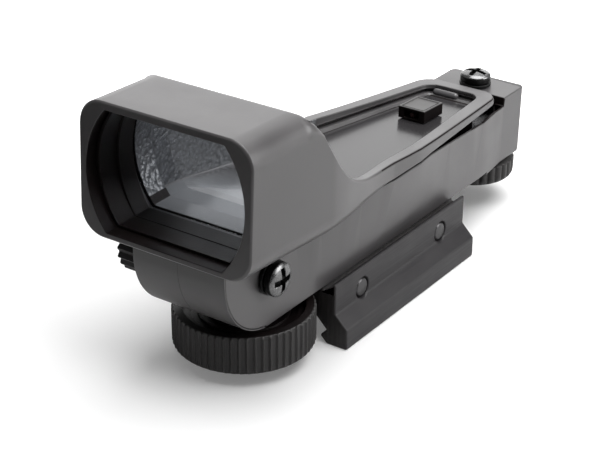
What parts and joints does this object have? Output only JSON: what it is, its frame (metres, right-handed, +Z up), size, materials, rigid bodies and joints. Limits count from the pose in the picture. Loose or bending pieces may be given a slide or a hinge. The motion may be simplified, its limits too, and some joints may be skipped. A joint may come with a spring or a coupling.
{
  "type": "red dot finder",
  "caption": "Telescope red dot finder: lens hood with a long tray tilts and swings on an arm that clamps to an accessory rail, set by knobs under front and rear.",
  "frame": {"origin": "centre of the clamp's face that sits on the rail's top", "axes": "+Z up; -Y is the lens end and +Y the tail, along the arm; +X is the side with the lock screw"},
  "size_m": [0.0378, 0.1196, 0.0564],
  "materials": {
    "black_plastic": "satin moulded black",
    "knob_plastic": "matt moulded black",
    "black_anodised": "black anodised extrusion",
    "black_steel": "blackened screw",
    "plain_steel": "bare turned steel",
    "brass": "bare brass",
    "coated_glass": "coated lens",
    "board_green": "resist-coated laminate",
    "red_emitter": "clear red resin"
  },
  "bodies": {
    "base": {"arm": "black_plastic", "mount_block": "black_anodised", "mount_screw_front": "plain_steel", "mount_screw_rear": "plain_steel", "contact_strip": "brass", "switch_track": "board_green"},
    "elevation_wheel": {"elevation_knob": "knob_plastic", "elevation_stud": "plain_steel", "knob_clip": "plain_steel"},
    "windage_wheel": {"windage_knob": "knob_plastic", "windage_cam": "plain_steel"},
    "windage_lock": {"windage_lock_screw": "black_steel", "windage_lock_washer": "black_steel"},
    "swivel": {"tail_yoke": "plain_steel", "tail_pin": "plain_steel"},
    "hood": {"housing": "black_plastic", "lens": "coated_glass", "lens_frame": "black_plastic", "emitter_block": "black_plastic", "emitter": "red_emitter", "circuit_board": "board_green", "belly_cover": "black_plastic", "elevation_nut": "brass", "lock_nut": "brass"},
    "elevation_lock": {"elevation_lock_screw": "black_steel", "elevation_lock_washer": "black_steel"},
    "switch": {"power_dial": "knob_plastic", "dial_wiper": "brass"},
    "drawer": {"battery_drawer": "black_plastic", "button_cells": "plain_steel"},
    "loose_jaw": {"clamp_jaw": "black_anodised"},
    "front_clamp_screw": {"clamp_screw_front": "black_steel"},
    "rear_clamp_screw": {"clamp_screw_rear": "black_steel"}
  },
  "joints": [
    {"name": "elevation_turn", "type": "hinge", "parent": "base", "child": "elevation_wheel", "pos_m": [0, -0.0365, 0], "axis": [0, 0, 1], "range_deg": [0, 1080]},
    {"name": "windage_swing", "type": "hinge", "parent": "base", "child": "swivel", "pos_m": [0, -0.0365, 0], "axis": [0, 0, -1], "range_deg": [-0.6, 0.6]},
    {"name": "elevation_tilt", "type": "hinge", "parent": "swivel", "child": "hood", "pos_m": [0, 0.036, 0.0128], "axis": [-1, 0, 0], "range_deg": [0, 1.7]},
    {"name": "windage_turn", "type": "hinge", "parent": "base", "child": "windage_wheel", "pos_m": [0, 0.05, 0], "axis": [0, 0, 1], "range_deg": [-60, 60]},
    {"name": "windage_lock_turn", "type": "hinge", "parent": "base", "child": "windage_lock", "pos_m": [0, 0.05, 0.02265], "axis": [0, 0, 1], "range_deg": [0, 360]},
    {"name": "elevation_lock_turn", "type": "hinge", "parent": "hood", "child": "elevation_lock", "pos_m": [0.0112, -0.0426, 0.017], "axis": [1, 0, 0], "range_deg": [0, 360]},
    {"name": "power_dial_turn", "type": "hinge", "parent": "base", "child": "switch", "pos_m": [-0.0138, -0.0474, 0.0179], "axis": [-1, 0, 0], "range_deg": [0, 270]},
    {"name": "battery_drawer_slide", "type": "slide", "parent": "base", "child": "drawer", "axis": [0, -1, 0], "range_m": [0, 0.014]},
    {"name": "clamp_jaw_slide", "type": "slide", "parent": "base", "child": "loose_jaw", "axis": [-1, 0, 0], "range_m": [0, 0.0014]},
    {"name": "clamp_screw_front_turn", "type": "hinge", "parent": "loose_jaw", "child": "front_clamp_screw", "pos_m": [-0.0107, -0.01485, 0.003], "axis": [-1, 0, 0], "range_deg": [0, 740]},
    {"name": "clamp_screw_rear_turn", "type": "hinge", "parent": "loose_jaw", "child": "rear_clamp_screw", "pos_m": [-0.0107, 0.01485, 0.003], "axis": [-1, 0, 0], "range_deg": [0, 740]}
  ],
  "couplings": [
    {"joint": "elevation_tilt", "follows": "elevation_turn", "ratio": 0.001537},
    {"joint": "windage_swing", "follows": "windage_turn", "ratio": 0.00956},
    {"joint": "clamp_screw_front_turn", "follows": "clamp_jaw_slide", "rad_per_m": 8976},
    {"joint": "clamp_screw_rear_turn", "follows": "clamp_jaw_slide", "rad_per_m": 8976}
  ]
}
